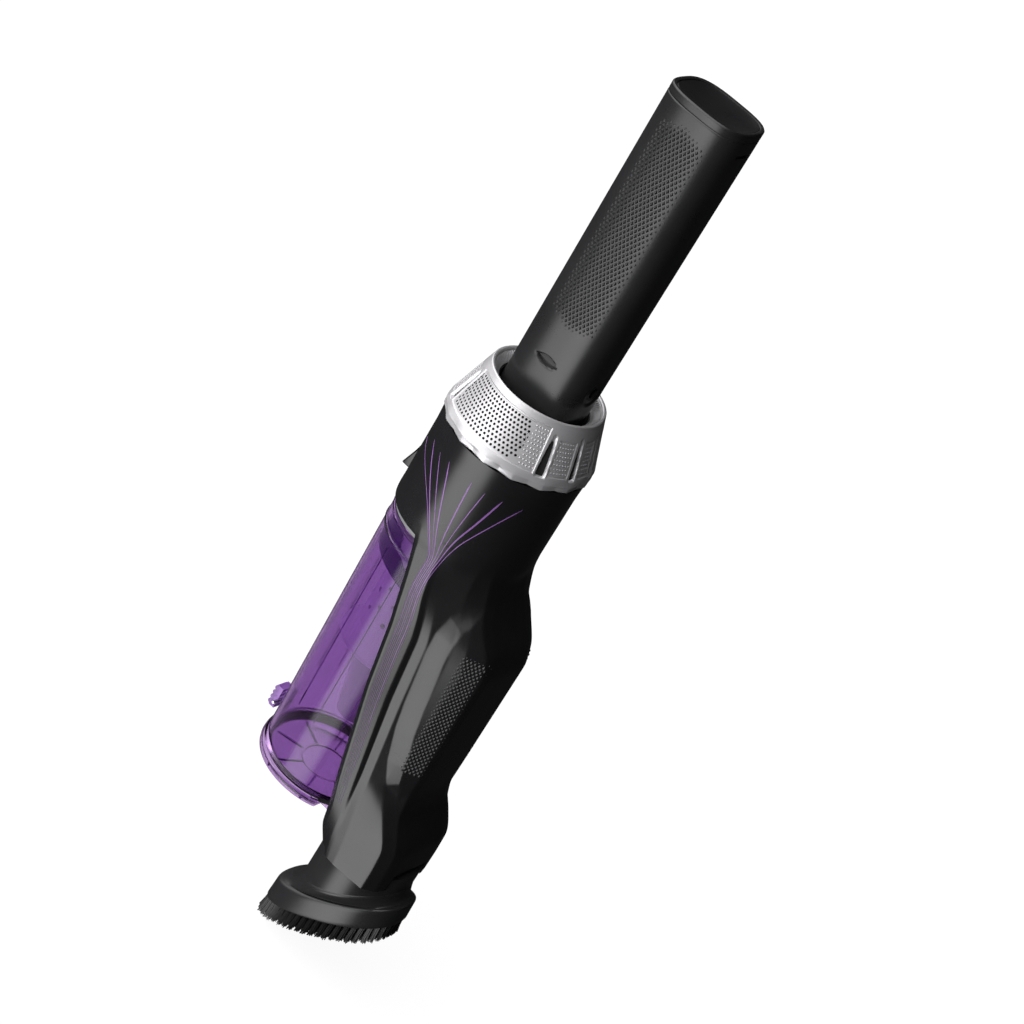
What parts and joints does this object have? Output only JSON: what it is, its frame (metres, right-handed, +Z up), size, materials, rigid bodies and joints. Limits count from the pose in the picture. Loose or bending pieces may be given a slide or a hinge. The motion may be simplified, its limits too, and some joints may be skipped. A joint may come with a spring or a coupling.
{
  "type": "handheld vacuum cleaner",
  "caption": "Cordless handheld vacuum: tube handle with battery, motor drum with perforated exhaust ring, pull-off clear dust bin with drop flap, side air duct and slanted dusting brush.",
  "frame": {"origin": "centre of the bounding box's base, with the lowest bristle tips at z = 0", "axes": "+Z up the motor and handle axis, -X towards the dust bin, +X towards the air duct, Y across the housing seam"},
  "size_m": [0.1255, 0.0792, 0.501],
  "materials": {
    "shell_black": "dark satin black, softly glossy",
    "ring_silver": "satin silver paint on plastic",
    "collar_grey": "satin grey",
    "handle_grey": "soft matte dark grey with a fine diamond texture",
    "cap_grey": "matte dark grey",
    "bin_purple": "clear purple tinted polycarbonate",
    "latch_purple": "purple tinted plastic",
    "shroud_grey": "grey plastic",
    "cone_clear": "pale tinted plastic",
    "filter_white": "pleated white filter paper",
    "foam_black": "open cell foam",
    "rubber_black": "matte black rubber",
    "inner_plastic": "moulded structural plastic",
    "brush_grey": "satin dark grey",
    "bristle_black": "black nylon bristles",
    "steel": "machined steel",
    "copper": "laminations with enamelled copper winding",
    "magnet": "sintered ferrite",
    "board_green": "solder mask on glass fibre",
    "cell_wrap": "shrink wrapped steel can",
    "socket_black": "moulded socket",
    "lens_dark": "smoked lens",
    "wire_red": "silicone wire"
  },
  "bodies": {
    "main_unit": {"housing_left": "shell_black", "housing_right": "shell_black", "mount_screws": "steel", "handle_mount": "inner_plastic", "exhaust_ring": "ring_silver", "exhaust_collar": "collar_grey", "exhaust_filter": "foam_black", "handle_sleeve": "handle_grey", "handle_end_cap": "cap_grey", "battery_cradle": "inner_plastic", "battery_cells": "cell_wrap", "battery_tabs": "steel", "battery_board": "board_green", "charging_socket": "socket_black", "status_lens": "lens_dark", "control_board": "board_green", "power_switch": "socket_black", "motor_can": "steel", "motor_mount_upper": "rubber_black", "motor_mount_lower": "rubber_black", "motor_board": "board_green", "motor_magnets": "magnet", "motor_bearings": "steel", "fan_shroud": "inner_plastic", "wiring_harness": "wire_red", "duct_liner": "inner_plastic", "duct_elbow": "inner_plastic", "inlet_socket": "inner_plastic", "bin_gasket": "rubber_black", "release_spring": "steel"},
    "rotor": {"motor_rotor": "copper", "motor_shaft": "steel", "impeller": "inner_plastic"},
    "power_button": {"power_button": "cap_grey"},
    "bin_release": {"bin_release": "shell_black"},
    "dust_bin": {"bin_cup": "bin_purple", "bin_collar": "shroud_grey", "bin_port_seal": "rubber_black", "cyclone_shroud": "shroud_grey", "cyclone_cone": "cone_clear", "filter_frame": "inner_plastic", "pleated_filter": "filter_white", "latch_pin": "steel", "flap_hinge_pin": "steel"},
    "bin_flap": {"bin_flap": "bin_purple", "flap_seal": "rubber_black"},
    "flap_latch": {"flap_latch": "latch_purple"},
    "brush": {"brush_head": "brush_grey", "brush_bristles": "bristle_black", "brush_seals": "rubber_black"}
  },
  "joints": [
    {"name": "motor_spin", "type": "hinge", "parent": "main_unit", "child": "rotor", "pos_m": [-0.0195, 0, 0.29004], "axis": [0, 0, 1], "continuous": true},
    {"name": "power_press", "type": "slide", "parent": "main_unit", "child": "power_button", "axis": [1, 0, 0], "range_m": [0, 0.0009], "stiffness_N_per_m": 900, "springref_m": -0.0005},
    {"name": "release_press", "type": "slide", "parent": "main_unit", "child": "bin_release", "axis": [1, 0, 0], "range_m": [0, 0.0016], "stiffness_N_per_m": 900, "springref_m": -0.0005},
    {"name": "bin_pull", "type": "slide", "parent": "main_unit", "child": "dust_bin", "axis": [-1, 0, 0], "range_m": [0, 0.08]},
    {"name": "flap_swing", "type": "hinge", "parent": "dust_bin", "child": "bin_flap", "pos_m": [0.0168, 0, 0.09405], "axis": [0, -1, 0], "range_deg": [0, 30]},
    {"name": "latch_rock", "type": "hinge", "parent": "dust_bin", "child": "flap_latch", "pos_m": [-0.0581, 0, 0.10005], "axis": [0, 1, 0], "range_deg": [0, 6], "stiffness_Nm_per_rad": 0.3, "springref_deg": -2.86},
    {"name": "brush_pull", "type": "slide", "parent": "main_unit", "child": "brush", "axis": [0, 0, -1], "range_m": [0, 0.03]}
  ]
}
